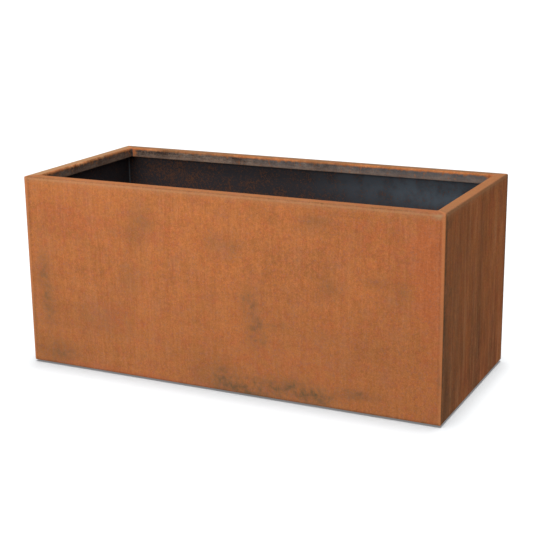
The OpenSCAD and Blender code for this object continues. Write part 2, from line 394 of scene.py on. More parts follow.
def add_fold_shade_and_highlight(values, past_fold):
    """The thin lines along a flange's outer bend: a dark one of painted shade and a pale one of painted
    highlight.
    """
    # pale below zero and stain paint the shade line here, and dust paints the highlight line
    line = ridge(past_fold, FOLD_SHADE, FOLD_LINE)
    values["pale"] -= 5.0 * line
    values["stain"] += 0.20 * line
    values["dust"] += 0.70 * ridge(past_fold, FOLD_HIGHLIGHT, FOLD_LINE)


def add_face(values, side, to_corner, up):
    """A face is duller and darker low down and along its foot, both painted shade, and ground beside the
    corner welds, with a thin line of painted shade beyond. The ends get painted shade there instead."""
    high = up / TOP
    # painted shade: the faces darken towards the bottom, as if lit from above
    values["stain"] += 0.15 * (1 - smooth(high, 0.0, 0.7))
    width = CORNER_BAND * (0.6 + 0.4 * high)
    values["ground"] = 1 - smooth(to_corner, 0.6 * width, width)
    # a thin line of painted shade beside the ground band
    values["pale"] -= (0.6 + 1.9 * high) * ridge(to_corner, 1.1 * width, 0.25 * width)
    # painted shade along the foot, where the wall meets the floor
    values["pale"] -= 3.0 * (1 - smooth(up - FOOT, 0.5 * BEND, 2 * BEND))
    # on the ends, painted shade takes the ground band's place beside the corner
    if "end" in side:
        values["stain"] += 0.9 * values["ground"]
        values["ground"] *= 0.1


def add_flange(values, side, to_mitre):
    """A flange is dusty, and ground over the mitre welds."""
    values["dust"] += FLANGE_DUST[side]
    values["pale"] += 0.8 if "end" in side else 0.2
    values["ground"] = 1 - smooth(to_mitre, 0.6 * MITRE_BAND, MITRE_BAND)
    values["stain"] += FLANGE_STAIN[side]


def surface_values(side, half, along, inwards, up, zone, inside):
    """What the sheet shows at a point of a wall. along is measured from the wall's middle."""
    across = 0.5 + along / (2 * half)
    marks = INNER_MARKS if inside else LIP_MARKS if zone == "lip" else MARKS
    values = marks_at(marks[side], across, up / TOP)
    if zone == "face":
        values["streak"] += STREAKS[side]
    if inside:
        values["mill"] = 1.0
        values["stain"] += SOIL_STAIN * (1 - smooth(up - TRAY_TOP, 0.0, SOIL_LINE))
        return values
    to_corner = half - abs(along)
    to_mitre = abs(to_corner - inwards)
    if zone == "hem":
        values["mill"] = HEM_SCALE
    if zone == "lip":
        add_lip(values, side, to_mitre, up)
    if zone in ("face", "flange"):
        add_fold_shade_and_highlight(values, inwards - (TOP - up))
    if zone == "face":
        add_face(values, side, to_corner, up)
    if zone == "flange":
        add_flange(values, side, to_mitre)
    return values


# ---- walls

WAVE = 0.45 * MM  # height of the sheet's slight waves
WAVE_LENGTH = 0.22
WAVE_APART = 7.3  # keeps the walls' waves unlike each other
WAVE_FADE = (6 * MM, 45 * MM)  # the waves grow between these distances from a wall's edges


def sheet_wave(side_number, along, up, half):
    """How far the sheet stands out of its plane. Its bends and welds hold it flat at its edges."""
    place = Vector((along / WAVE_LENGTH, up / WAVE_LENGTH, WAVE_APART * side_number))
    edge = min(half - abs(along), up - FOOT, TOP - up)
    return WAVE * noise.noise(place) * smooth(edge, *WAVE_FADE)


def column_place(column, inwards, half):
    """Where a column lies along the wall, at a depth behind its face: near the ends it turns into
    the mitre."""
    square_end = half - SHEET
    straight = half - MITRE_ZONE
    if abs(column) <= straight:
        return column
    end = square_end if inwards < SHEET - 1e-6 else half - inwards - MITRE_GAP
    share = (abs(column) - straight) / (square_end - straight)
    return math.copysign(straight + share * (end - straight), column)


def wall(name, side, number, half, reach, turn, material):
    """A folded wall, swept along its length. turn is the angle from the front wall, in degrees."""
    skin = Skin()
    outline = sheet_outline(wall_stations())
    square_end = half - SHEET
    turned = Matrix.Rotation(math.radians(turn), 3, "Z")
    length = 2 * square_end
    near_welds = list(WELD_COLUMNS) + [length - d for d in WELD_COLUMNS]
    rings = []
    for column in sorted(graded(length) + near_welds):
        points, values = [], []
        for (inwards, up), zone, inside in outline:
            along = column_place(column - square_end, inwards, half)
            values.append(surface_values(side, half, along, inwards, up, zone, inside))
            wave = sheet_wave(number, along, up, half) if zone == "face" else 0.0
            points.append(turned @ Vector((along, inwards - reach - wave, up)))
        rings.append(skin.ring(points, values))
    skin.loft(rings, skin.sheet_cap)
    return skin.piece(name, material, name)


# ---- corner and rim welds

# Outside a corner the bead is dressed flush
DRESSED_STEPS = 8  # faces round it
DRESSED_STEP = 3 * MM  # between its rings
DRESSED_WAVE = 0.12 * MM  # how uneven the grinding left it
DRESSED_WAVE_LENGTH = 9 * MM

# Inside it the root bead shows
ROOT_LEG = 2.2 * MM
ROOT_STEPS = 4
ROOT_STEP = 2 * MM
ROOT_RIPPLE = 1.3 * MM  # length of a radian of its ripple
ROOT_UNEVEN_LENGTH = 12 * MM
ROOT_ABOVE_TRAY = 2 * MM

RIM_BEAD_STEP = 0.8 * MM  # between the rings of a rim weld
RIM_RIPPLE = 0.55 * MM  # length of a radian of its ripple
RIM_UNEVEN_LENGTH = 4 * MM
RIM_SEED = (3.1, 5.7)  # keeps the four welds unlike each other

# Section of a rim weld, as (across in half widths, lift in crowns). Those without a lift are its root.
RIM_BEAD = ((-1, 0.0), (-0.55, 0.7), (0, 1.0), (0.55, 0.7), (1, 0.0), (0.5, None), (-0.5, None))

# The corners, each with the directions of its two walls along X and Y
CORNERS = {
    "front_left": (1, 1),
    "front_right": (-1, 1),
    "back_left": (1, -1),
    "back_right": (-1, -1),
}


def corner_point(place, x, y, z):
    """A point that lies x and y inwards from one of the box's corners."""
    flip_x, flip_y = CORNERS[place]
    return Vector((flip_x * (x - HALF_LENGTH), flip_y * (y - HALF_DEPTH), z))


def envelope(up):
    """How far the folded walls' outer skin stands back from the box's sides, at a height."""
    into_bend = max(up - (TOP - BEND), FOOT + BEND - up, 0.0)
    return BEND - math.sqrt(max(BEND**2 - into_bend**2, 0.0))


def dressed_bead(skin, place):
    """The bead down a corner, ground round: bright towards the long wall, and darkened towards the end with
    painted shade.
    """
    reach_up = math.sqrt(BEND**2 - (BEND - SHEET) ** 2)
    low, high = FOOT + BEND - reach_up, TOP - BEND + reach_up
    values = []
    for i in range(DRESSED_STEPS + 2):
        to_long_side = smooth(i / DRESSED_STEPS, 0.25, 0.75)
        values.append({"ground": 0.2 + 0.8 * to_long_side, "stain": 0.8 * (1 - to_long_side)})
    rings = []
    for rise in graded(high - low, DRESSED_STEP):
        z = low + rise
        back = envelope(z)
        dressed = DRESSED_WAVE * noise.noise(Vector((*CORNERS[place], z / DRESSED_WAVE_LENGTH)))
        points = []
        for i in range(DRESSED_STEPS + 1):
            angle = math.pi / 2 * i / DRESSED_STEPS
            radius = SHEET + dressed * math.sin(2 * angle)
            x = max(SHEET - radius * math.cos(angle), back)
            y = max(SHEET - radius * math.sin(angle), back)
            points.append(corner_point(place, x, y, z))
        points.append(corner_point(place, SHEET, SHEET, z))
        rings.append(skin.ring(points, values))
    skin.loft(rings, skin.flat_cap)


def root_bead(skin, place):
    """The rippled bead in the inside of a corner, above the tray, with a painted highlight down it."""
    low, high = TRAY_TOP + ROOT_ABOVE_TRAY, TOP - SHEET
    rings = []
    for rise in graded(high - low, ROOT_STEP):
        z = low + rise
        uneven = noise.noise(Vector((*CORNERS[place], z / ROOT_UNEVEN_LENGTH)))
        leg = ROOT_LEG * (1 + 0.10 * math.sin(rise / ROOT_RIPPLE) + 0.15 * uneven)
        points = [corner_point(place, SHEET, SHEET, z)]
        for i in range(ROOT_STEPS + 1):
            angle = math.pi / 2 * i / ROOT_STEPS
            reach = leg * (1 - 0.25 * math.sin(2 * angle))
            x = SHEET + reach * math.cos(angle)
            y = SHEET + reach * math.sin(angle)
            points.append(corner_point(place, x, y, z))
        # pale and dust make the bead light grey: a painted highlight down the inside corner
        rings.append(skin.ring(points, [{"mill": 1.0, "pale": 1.0, "dust": 0.35}] * len(points)))
    skin.loft(rings, skin.flat_cap)


def corner_weld(place, material):
    """The weld between two walls: a dressed bead outside and a root bead inside."""
    skin = Skin()
    dressed_bead(skin, place)
    root_bead(skin, place)
    name = f"corner_weld_{place}"
    return skin.piece(name, material, name)


def mitre_path():
    """Closely spaced (point, direction out) over the flange and down the lip, along a mitre."""
    path = [(p, n) for p, n, zone in wall_stations() if zone in ("flange", "lip") and p.x > SHEET]
    fine = []
    for (one, normal_one), (two, normal_two) in zip(path, path[1:]):
        parts = max(1, round((two - one).length / RIM_BEAD_STEP))
        for i in range(parts):
            normal = normal_one.lerp(normal_two, i / parts).normalized()
            fine.append((one.lerp(two, i / parts), normal))
    fine.append(path[-1])
    return fine


def rim_weld(place, material):
    """The weld along a mitre of the rim: ground flush on the flange, left rippled down the lips."""
    seed = [flip * share for flip, share in zip(CORNERS[place], RIM_SEED)]
    skin = Skin()
    path = mitre_path()
    run = 0.0
    rings = []
    for i, (point, normal) in enumerate(path):
        run += (point - path[i - 1][0]).length if i else 0.0
        inwards, up = point
        down_lip = smooth(TOP - up, 0.2 * BEND, 1.2 * BEND)
        ripple = 0.5 + 0.5 * math.sin(run / RIM_RIPPLE)
        grain = noise.noise(Vector((*seed, run / RIM_UNEVEN_LENGTH)))
        width = (1.6 + 1.1 * down_lip + 0.5 * grain) * MM
        crown = (0.06 + 0.05 * grain + down_lip * (0.35 + 0.3 * ripple)) * MM
        points = []
        for across, lift in RIM_BEAD:
            out = normal * (crown * lift if lift is not None else -(SHEET + 0.2 * MM))
            x = inwards + out.x + max(across, 0) * width
            y = inwards + out.x + max(-across, 0) * width
            points.append(corner_point(place, x, y, up + out.y))
        value = {"ground": 1 - 0.8 * down_lip, "mill": 0.8 * down_lip, "warm": 0.7 * down_lip}
        value["dust"] = 0.3 * (1 - down_lip)
        rings.append(skin.ring(points, [value] * len(points)))
    skin.loft(rings, skin.flat_cap)
    name = f"rim_weld_{place}"
    return skin.piece(name, material, name)


# ---- base: ribs, stitch welds, glides

RIBS = ("base_rib_left", "base_rib_middle", "base_rib_right")
LONG_STITCHES = 5
END_STITCHES = 3
RIB_STITCHES = 4
STITCH_LENGTH = 30 * MM
STITCH_LEG = 3.9 * MM  # radius of a tray stitch, from its root line
STITCH_ROOT = 2.5 * MM  # depth of its root below that line
RIB_STITCH_LENGTH = 25 * MM
RIB_STITCH_LEG = 2 * MM
STITCH_STEP = 0.6 * MM  # between a stitch's rings
STITCH_RIPPLE = 2.1 * MM  # from one ripple to the next
STITCH_END = 4.5 * MM  # length of its tapered ends
STITCH_FACES = 6  # round it
STITCH_UNEVEN_LENGTH = 5 * MM
STITCH_SEED = 31  # keeps the stitches unlike each other
GLIDE_STEM = 4 * MM  # radius
GLIDE_BARB = 1.5 * MM  # how far the head reaches beyond the stem
GLIDE_SIDES = 56
GLIDE_TIP = 0.05 * MM  # radius of the face that closes each end


def rib(name, material):
    """A hat-section rib, swept from front to back."""
    low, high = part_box(name)
    middle = (low.x + high.x) / 2
    half_width = (high.x - low.x) / 2
    side = half_width - RIB_FLANGE
    under = high.z - SHEET
    inner = BEND - SHEET
    left = (
        flat((-half_width, under), (-side - inner, under), (0, -1), "rib")
        + bend((-side - inner, under - inner), 90, 0, "rib", hollow=True)
        + flat((-side, under - inner), (-side, low.z + BEND), (-1, 0), "rib")
        + bend((BEND - side, low.z + BEND), 180, 270, "rib")
    )
    web = flat((BEND - side, low.z), (side - BEND, low.z), (0, -1), "rib")
    right = [(Vector((-p.x, p.y)), Vector((-n.x, n.y)), zone) for p, n, zone in reversed(left)]
    outline = sheet_outline(left + web + right)
    skin = Skin()
    rings = []
    for run in graded(high.y - low.y, 1.5 * GRID):
        points = [Vector((middle + p.x, low.y + run, p.y)) for p, _, _ in outline]
        rings.append(skin.ring(points))
    skin.loft(rings, skin.sheet_cap)
    return skin.piece(name, material, name)


def stitch(skin, middle, along, side, up, length, leg, root):
    """One fillet bead with its ripples. side and up point out along its two legs from the root line."""
    steps = round(length / STITCH_STEP)
    rings = []
    for i in range(steps + 1):
        run = length * i / steps
        taper = math.sqrt(smooth(min(run, length - run), -STITCH_STEP, STITCH_END))
        seed = middle * STITCH_SEED + along * (run / STITCH_UNEVEN_LENGTH)
        body = taper * (1 + 0.08 * noise.noise(seed))
        points = []
        for j in range(STITCH_FACES + 1):
            angle = math.pi / 2 * j / STITCH_FACES
            lag = 1.1 * math.sin(2 * angle)
            wave = ((run / STITCH_RIPPLE + lag) % 1.0) ** 2
            reach = leg * body * (1 + 0.10 * wave * math.sin(2 * angle))
            out = side * (reach * math.cos(angle)) + up * (reach * math.sin(angle))
            points.append(middle + along * (run - length / 2) + out)
        points.append(middle + along * (run - length / 2) - up * root)
        rings.append(skin.ring(points))
    skin.loft(rings, skin.flat_cap)


def tray_stitches(material):
    """The beads in the groove between the tray and the walls."""
    skin = Skin()
    up = Vector((0, 0, 1))
    sides = ((0, HALF_LENGTH, HALF_DEPTH, LONG_STITCHES), (90, HALF_DEPTH, HALF_LENGTH, END_STITCHES))
    for turn, half, reach, count in sides:
        for angle in (turn, turn + 180):
            turned = Matrix.Rotation(math.radians(angle), 3, "Z")
            along, side = turned @ Vector((1, 0, 0)), turned @ Vector((0, 1, 0))
            for i in range(count):
                run = (i - (count - 1) / 2) * 2 * half / count
                place = turned @ Vector((run, SHEET - reach, TRAY_TOP))
                stitch(skin, place, along, side, up, STITCH_LENGTH, STITCH_LEG, STITCH_ROOT)
    return skin.piece("base_stitch_welds", material, "base_stitch_welds")


def rib_stitches(material):
    """The fillet beads along the ribs' flanges, under the tray."""
    skin = Skin()
    for name in RIBS:
        low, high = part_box(name)
        pitch = (high.y - low.y) / RIB_STITCHES
        for i in range(RIB_STITCHES):
            y = low.y + (i + 0.5) * pitch
            for x, hand in ((low.x, -1), (high.x, 1)):
                place = Vector((x, y, high.z))
                side, down = Vector((hand, 0, 0)), Vector((0, 0, -1))
                stitch(skin, place, Vector((0, 1, 0)), side, down, RIB_STITCH_LENGTH, RIB_STITCH_LEG, 0.0)
    return skin.piece("rib_stitch_welds", material, "rib_stitch_welds")


def glide_profile(pad, high):
    """A glide's half section as (radius, height): a pad with a ring groove, a stem and a barbed head."""
    head = GLIDE_STEM + GLIDE_BARB
    web_top = FOOT + SHEET
    under_pad = [
        (0.0, 0.5 * MM), (2.0 * MM, 0.5 * MM), (2.4 * MM, 0.0), (0.56 * pad, 0.0),
        (0.59 * pad, 0.5 * MM), (0.66 * pad, 0.5 * MM), (0.69 * pad, 0.0),
    ]
    rim_and_top = [
        (pad - 1.2 * MM, 0.0), (pad - 0.5 * MM, 0.25 * MM), (pad - 0.1 * MM, 0.8 * MM),
        (pad, 1.4 * MM), (pad, FOOT - 0.5 * MM), (pad - 0.5 * MM, FOOT),
    ]
    stem_and_head = [
        (GLIDE_STEM + 0.4 * MM, FOOT), (GLIDE_STEM, FOOT + 0.4 * MM), (GLIDE_STEM, web_top),
        (head, web_top + 0.1 * MM), (head, web_top + 1.4 * MM),
        (GLIDE_STEM + 0.6 * MM, web_top + 3.4 * MM), (GLIDE_STEM - 0.8 * MM, web_top + 5.6 * MM),
        (GLIDE_STEM - 1.6 * MM, high), (0.0, high),
    ]
    return under_pad + rim_and_top + stem_and_head


def glide(name, material):
    """A moulded glide, turned from its half section."""
    low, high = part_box(name)
    centre = (low + high) / 2
    turn = [2 * math.pi * i / GLIDE_SIDES for i in range(GLIDE_SIDES)]
    skin = Skin()
    rings = []
    for radius, z in glide_profile((high.x - low.x) / 2, high.z):
        reach = max(radius, GLIDE_TIP)
        around = [(centre.x + reach * math.cos(t), centre.y + reach * math.sin(t)) for t in turn]
        rings.append(skin.ring([Vector((x, y, z)) for x, y in around]))
    skin.loft(rings, skin.flat_cap)
    return skin.piece(name, material, name)


# ---- materials

# The colours, their weights and the ends of their steps were set by comparing renders with the photograph.
# In each function g is the graph, v holds the surface values and n the noises.

WELD_RUST = 45 * MM  # width of the rustier border round the tray


def colour(red, green, blue):
    """A colour given in the 0 to 255 of a screen, as linear light."""
    def linear(value):
        value /= 255
        return value / 12.92 if value <= 0.04045 else ((value + 0.055) / 1.055) ** 2.4

    return (linear(red), linear(green), linear(blue), 1.0)


def connect(tree, socket, value):
    """Links a node's output to the socket, or sets the socket to a fixed value."""
    if isinstance(value, bpy.types.NodeSocket):
        tree.links.new(value, socket)
    else:
        socket.default_value = value


def add_node(tree, kind, inputs, output, **settings):
    """Adds a shader node with its settings and its inputs, and returns one of its outputs."""
    node = tree.nodes.new("ShaderNode" + kind)
    for name, value in settings.items():
        setattr(node, name, value)
    for name, value in inputs.items():
        connect(tree, node.inputs[name], value)
    return node.outputs[output]


class Graph:
    """Builds a material's nodes. Most of its methods add a node and return its output socket."""

    def __init__(self, name):
        self.material = bpy.data.materials.new(name)
        self.material.use_nodes = True
        self.tree = self.material.node_tree
        self.shader = self.tree.nodes["Principled BSDF"]
        self.place = self.node("TexCoord", {}, "Object")

    def node(self, kind, inputs, output, **settings):
        """Adds a node to this material."""
        return add_node(self.tree, kind, inputs, output, **settings)

    def shade(self, name, value):
        """Connects or sets one of the shader's inputs."""
        connect(self.tree, self.shader.inputs[name], value)

    def value(self, name):
        """One of the surface values that the walls carry."""
        return self.node("Attribute", {}, "Fac", attribute_name=name)

    def stretched(self, x, y, z):
        """The place, with each axis multiplied: a pattern is long where the number is small."""
        return self.node("VectorMath", {0: self.place, 1: (x, y, z)}, "Vector", operation="MULTIPLY")

    def noise(self, size, detail=2.0, roughness=0.5, place=None):
        """Noise with features of about this size, in metres."""
        inputs = {"Vector": place or self.place, "Scale": 1 / size, "Detail": detail}
        inputs["Roughness"] = roughness
        return self.node("TexNoise", inputs, "Fac")

    def math(self, operation, one, two=0.0, clamp=False):
        """One sum. clamp keeps its result between 0 and 1."""
        return self.node("Math", {0: one, 1: two}, 0, operation=operation, use_clamp=clamp)

    def term(self, term):
        """A term is a socket, a number, or a tuple of them to be multiplied together."""
        if not isinstance(term, tuple):
            return term
        found, *factors = term
        for factor in factors:
            found = self.math("MULTIPLY", found, factor)
        return found

    def total(self, *terms):
        """The sum of the terms."""
        found = None
        for term in terms:
            found = self.term(term) if found is None else self.math("ADD", found, self.term(term))
        return found

    def step(self, value, low, high, bottom=0.0, top=1.0):
        """A smooth step of value from bottom to top."""
        inputs = {"Value": value, "From Min": low, "From Max": high, "To Min": bottom, "To Max": top}
        return self.node("MapRange", inputs, "Result", interpolation_type="SMOOTHSTEP")

    def mix(self, share, one, two):
        """Colour one where the share, a term, is 0, and colour two where it is 1."""
        inputs = {"Factor": self.term(share), "A": one, "B": two}
        return self.node("Mix", inputs, "Result", data_type="RGBA")

    def sway(self, value, base, above, below):
        """Mixes the base with one colour where value is above zero, and another where it is below."""
        base = self.mix(self.math("MULTIPLY", value, 1.0, clamp=True), base, above)
        return self.mix(self.math("MULTIPLY", value, -1.0, clamp=True), base, below)

    def ramp(self, value, *stops):
        """A colour picked by value from stops of (position, red, green, blue)."""
        node = self.tree.nodes.new("ShaderNodeValToRGB")
        elements = node.color_ramp.elements
        while len(elements) < len(stops):
            elements.new(0.5)
        for element, (position, *shade) in zip(elements, stops):
            element.position = position
            element.color = colour(*shade)
        connect(self.tree, node.inputs["Fac"], value)
        return node.outputs["Color"]

    def finish(self, base, roughness, height, depth, strength):
        """Connects the shader: its colour, its roughness and a bump of this depth, in metres."""
        self.shade("Base Color", base)
        self.shade("Roughness", roughness)
        inputs = {"Strength": strength, "Distance": depth, "Height": height}
        self.shade("Normal", self.node("Bump", inputs, "Normal"))
        return self.material


def centred(g, value):
    """Noise moved to be around zero."""
    return g.math("SUBTRACT", value, 0.5)


def scale_colour(g, mottle, grain, specks, rust_share, blue_share):
    """Mill scale: blue-black, with blue clean places, which also paint a sheen of reflected light, and brown
    rust coming through in freckles.
    """
    blue_scale_and_sheen = g.mix(blue_share, colour(60, 57, 61), colour(96, 106, 116))
    shaded = g.mix(g.step(mottle, 0.35, 0.75, 0.0, 0.5), blue_scale_and_sheen, colour(48, 45, 47))
    spread = g.total((centred(g, mottle), 0.35), (centred(g, grain), 0.8), (centred(g, specks), 0.8))
    freckle = g.step(g.total(spread, (rust_share, 0.12)), 0.03, 0.24)
    brown = g.mix(mottle, colour(98, 64, 44), colour(130, 82, 54))
    return g.mix((freckle, 0.70), shaded, brown)


def lip_colour(g, v, n):
    """The thin grey oxide of the lips, speckled, darker in streaks, with a tan haze of rust."""
    along = g.noise(0.0060, 3.0, 0.6, g.stretched(0.35, 0.35, 1.6))
    broad = g.noise(0.055, 2.0, 0.5, g.stretched(1, 1, 0.5))
    tone = g.total(
        0.49, (centred(g, n.grain), 0.60), (centred(g, n.specks), 0.60), (centred(g, along), 0.9),
        (centred(g, broad), 1.3), (v.streak, -0.07),
    )
    oxide = g.ramp(
        tone,
        (0.22, 36, 34, 34), (0.42, 80, 74, 70), (0.60, 109, 98, 90), (0.82, 152, 132, 114),
    )
    oxide = g.mix((v.pale, 0.5), oxide, colour(124, 124, 126))
    haze = g.step(g.total(n.patches, (centred(g, n.grain), 0.8), (v.stain, 0.14)), 0.52, 0.84)
    return g.mix((haze, 0.5), oxide, colour(128, 92, 68))


def steel_patterns(g):
    """The noises of the weathering steel. Some are mirrored, so that they differ from ones of like size."""
    return SimpleNamespace(
        clouds=g.noise(0.16, 3.0),
        runs=g.noise(0.070, 4.0, 0.6, g.stretched(1, 1, 0.20)),
        dull=g.noise(0.035, 5.0, 0.7, g.stretched(1, -1, 1)),
        mottle=g.noise(0.030, 4.0, 0.6),
        strokes=g.noise(0.024, 4.0, 0.6, g.stretched(0.2, 0.2, 1.2)),
        warmth=g.noise(0.022, 6.0, 0.7, g.stretched(1, 1, -1)),
        drips=g.noise(0.0170, 4.0, 0.65, g.stretched(1, 1, 0.07)),
        patches=g.noise(0.011, 3.0, 0.6),
        grain=g.noise(0.0048, 3.0, 0.65),
        lines=g.noise(0.0042, 3.0, 0.6, g.stretched(1, 1, 0.08)),
        tint=g.noise(0.0036, 2.0, 0.6, g.stretched(-1, 1, 1)),
        specks=g.noise(0.0022, 2.0, 0.6),
    )


def rust_colour(g, v, n):
    """Orange rust, darker and lighter, with ochre, reddish, dull and greyish places."""
    tone = g.total(
        0.50, (centred(g, n.clouds), 0.32), (centred(g, n.strokes), 0.22),
        (centred(g, n.mottle), 0.26), (centred(g, n.patches), 0.28), (centred(g, n.grain), 0.44),
        (centred(g, n.specks), 0.45), (centred(g, n.drips), v.streak, 0.34),
        (centred(g, n.runs), v.streak, 1.40), (v.pale, 0.06), (v.stain, -0.06),
    )
    rust = g.ramp(
        tone,
        (0.05, 112, 74, 44), (0.30, 152, 96, 54), (0.50, 181, 109, 60),
        (0.70, 201, 120, 65), (0.95, 218, 146, 94),
    )
    ochre = g.step(g.total(n.warmth, (v.pale, -0.14), (centred(g, n.grain), 0.3)), 0.36, 0.58, 1.0, 0.0)
    rust = g.mix((ochre, 0.35), rust, colour(186, 118, 64))
    reddish = g.step(g.total(n.warmth, (v.warm, 0.28), (centred(g, n.tint), 0.6)), 0.44, 0.78)
    rust = g.mix((reddish, 0.50), rust, colour(190, 98, 60))
    rust = g.mix(g.step(n.dull, 0.45, 0.75, 0.0, 0.30), rust, colour(170, 113, 86))
    greyish = g.step(g.total(n.tint, (v.stain, 0.10)), 0.52, 0.76)
    return g.mix((greyish, 0.40), rust, colour(146, 112, 96))


def with_grain(g, v, n, rust):
    """Adds fine grain and vertical lines, and pale and dark drips where there are streaks."""
    fine = g.total(
        (centred(g, n.grain), 0.55), (centred(g, n.specks), 0.50), (centred(g, n.lines), 0.50),
        (centred(g, n.lines), v.streak, 0.80),
    )
    rust = g.sway(fine, rust, colour(226, 146, 96), colour(128, 58, 18))
    washed = g.term((centred(g, n.drips), v.streak, 0.66))
    return g.sway(washed, rust, colour(238, 188, 136), colour(98, 50, 14))


def with_marks(g, v, n, rust):
    """Adds the ragged blotches, which also carry the painted shade held in stain, the dust, which also
    carries the painted highlights, and the ground bands beside the welds.
    """
    ragged = g.total(
        1.0, (centred(g, n.mottle), 3.0), (centred(g, n.patches), 4.0), (centred(g, n.grain), 2.0),
        (centred(g, n.lines), 2.0),
    )
    blotch = g.term((v.stain, ragged))
    rust = g.mix(g.math("MULTIPLY", blotch, 0.45, clamp=True), rust, colour(104, 86, 62))
    rust = g.mix(g.step(blotch, 0.40, 1.60, 0.0, 0.22), rust, colour(84, 70, 48))
    rust = g.mix((v.dust, g.step(n.grain, 0.25, 0.65, 0.6, 0.85)), rust, colour(184, 138, 98))
    dressed = g.noise(0.0030, 2.0, 0.5, g.stretched(0.15, 0.15, 1))
    weld = g.mix(dressed, colour(188, 116, 70), colour(208, 136, 88))
    return g.mix((v.ground, 0.60), rust, weld)


def weathering_steel():
    """Rusted outer skin, mill scale inside, and what is between them on the lips and hems."""
    g = Graph("weathering_steel")
    v = SimpleNamespace(**{key: g.value(key) for key in SURFACE_VALUES})
    n = steel_patterns(g)
    rust = with_marks(g, v, n, with_grain(g, v, n, rust_colour(g, v, n)))

    scale = scale_colour(g, n.mottle, n.grain, n.specks, v.stain, v.pale)
    # on the scale, dust gives light grey; on the inner corner beads this paints their highlight
    scale = g.mix((v.dust, g.step(v.mill, 0.8, 1.0)), scale, colour(112, 110, 108))
    lip_dust = (v.dust, g.step(n.grain, 0.3, 0.6, 0.6, 1.0))
    lip = g.mix(lip_dust, lip_colour(g, v, n), colour(164, 132, 112))

    # Between rust and oxide the border wanders, but only where mill is neither 0 nor 1
    between = g.term((v.mill, g.math("SUBTRACT", 1.0, v.mill)))
    wander = g.total((centred(g, n.patches), 3.2), (centred(g, n.grain), 3.8))
    base = g.mix(g.step(g.total(v.mill, (between, wander)), 0.08, 0.46), rust, lip)
    base = g.mix(g.step(v.mill, 0.75, 0.95), base, scale)

    rust_rough = g.step(n.grain, 0.3, 0.7, 0.78, 0.94)
    scale_rough = g.step(n.mottle, 0.3, 0.7, 0.42, 0.62)
    rough = g.step(v.mill, 0.2, 0.9, rust_rough, scale_rough)
    height = g.total((n.grain, 0.9), (n.specks, 0.6), (n.mottle, 0.8), (n.drips, 0.3))
    g.shade("Specular IOR Level", 0.15)
    return g.finish(base, rough, height, 0.30 * MM, 0.6)


def base_steel():
    """Sheet of the base: mill scale with blooms of rust, more of them along the welded edges."""
    g = Graph("base_steel")
    mottle = g.noise(0.045, 4.0, 0.6)
    grain = g.noise(0.0060, 4.0, 0.65)
    specks = g.noise(0.0022, 2.0, 0.6)
    x, y = (g.node("SeparateXYZ", {0: g.place}, axis) for axis in ("X", "Y"))
    from_end = g.math("SUBTRACT", HALF_LENGTH, g.math("ABSOLUTE", x))
    from_side = g.math("SUBTRACT", HALF_DEPTH, g.math("ABSOLUTE", y))
    edge = g.step(g.math("MINIMUM", from_end, from_side), 4 * MM, WELD_RUST, 1.0, 0.0)
    scale = scale_colour(g, mottle, grain, specks, g.total(0.5, edge), 0.35)
    spread = g.total((centred(g, mottle), 1.0), (centred(g, grain), 1.2), (edge, 0.20))
    bloom = g.step(spread, 0.06, 0.45)
    rust = g.mix(specks, colour(100, 62, 42), colour(150, 94, 58))
    base = g.mix((bloom, 0.75), scale, rust)
    rough = g.step(bloom, 0.0, 1.0, 0.5, 0.85)
    return g.finish(base, rough, g.total((grain, 0.6), (specks, 0.6)), 0.2 * MM, 0.6)


def weld_metal():
    """Unground stitch welds: brown and blue from the heat, with a dull shine."""
    g = Graph("weld_metal")
    mottle = g.noise(0.008, 3.0, 0.6)
    fine = g.noise(0.0016, 2.0, 0.6)
    base = g.ramp(
        g.total(mottle, (centred(g, fine), 0.5)),
        (0.25, 58, 56, 62), (0.45, 92, 76, 66), (0.60, 120, 84, 60), (0.80, 150, 92, 56),
    )
    g.shade("Metallic", 0.4)
    return g.finish(base, g.step(fine, 0.3, 0.7, 0.45, 0.7), fine, 0.1 * MM, 0.5)


def nylon():
    """Black moulded nylon with a fine spark-eroded texture."""
    g = Graph("black_nylon")
    texture = g.noise(0.0007, 2.0, 0.6)
    dust = g.noise(0.012, 3.0, 0.6)
    base = g.mix(g.step(dust, 0.45, 0.75), colour(24, 24, 25), colour(44, 42, 40))
    return g.finish(base, g.step(dust, 0.3, 0.7, 0.45, 0.62), texture, 0.05 * MM, 0.5)


# ---- floor, light and camera

# Each brightness is a share of what a white surface needs to look white.
SKY_LEVEL = 0.12  # soft light from all round
SKY_ABOVE = 0.60  # and what is added straight above, straight below and straight in front
SKY_BELOW = 0.45
SKY_FRONT = 0.15
VIEW_LEVEL = 1.1  # the surround itself is seen as plain white
SOFTBOXES = {  # place, point aimed at, width and watts
    "front_softbox": ((-0.4, -1.7, 0.75), (0.0, -0.2, 0.25), 0.9, 13.0),
    "top_softbox": ((-0.3, -0.8, 2.4), (0.0, 0.0, 0.40), 1.4, 24.0),
}
FLOOR_COLOUR = (0.197, 0.200, 0.203, 1.0)  # grey, so that the planter tints it little
FLOOR_GLOW = 0.90  # the floor also glows, so that its shadows are soft and never black
FLOOR_REACH = 40.0
FLOOR_LIGHT = 1.46  # each of the strong lights from above that only the floor receives
FLOOR_LIGHT_WIDTH = 15  # in degrees: it sets how far the shadow at the planter's foot spreads
FLOOR_LIGHT_TILTS = (-6, 0, 6)  # in degrees from straight above

# The camera stands here. It is turned from +Y towards -X, then down, then about its own axis.
CAMERA_PLACE = Vector((1.0989, -2.2321, 0.8843))
CAMERA_TURN = 26.161
CAMERA_DOWN = 15.23
CAMERA_ROLL = -0.72
LENS = 84.1  # in millimetres, for a sensor of this width
SENSOR_WIDTH = 36


def linked(name, data):
    """A new object in the scene."""
    thing = bpy.data.objects.new(name, data)
    bpy.context.scene.collection.objects.link(thing)
    return thing


